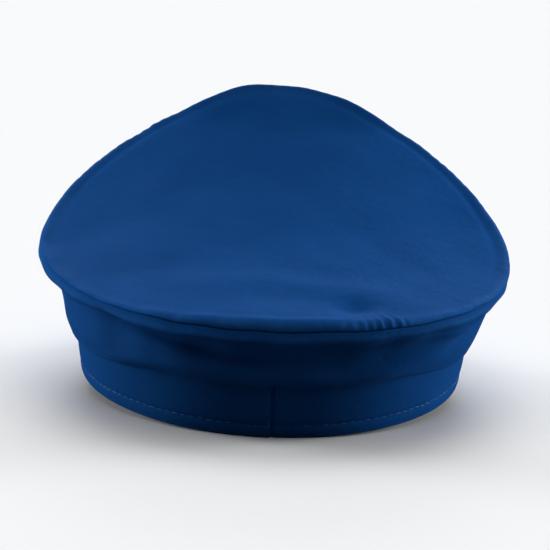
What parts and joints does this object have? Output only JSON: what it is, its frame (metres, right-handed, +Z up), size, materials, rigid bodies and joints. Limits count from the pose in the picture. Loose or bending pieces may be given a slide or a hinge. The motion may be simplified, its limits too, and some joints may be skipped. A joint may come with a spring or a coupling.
{
  "type": "captain hat",
  "caption": "Blue cloth captain hat with a broad slack crown, high at the front, a plain band and a short peak.",
  "frame": {"origin": "middle of the hat's footprint box, at the height of the surface that it stands on", "axes": "+Z up, +Y from the peak towards the back of the hat, +X towards the wearer's left"},
  "size_m": [0.216, 0.2646, 0.1281],
  "materials": {
    "blue_cloth": "matte"
  },
  "bodies": {
    "root": {"band": "blue_cloth", "side_crown": "blue_cloth", "top_panel": "blue_cloth", "peak": "blue_cloth"}
  },
  "joints": []
}
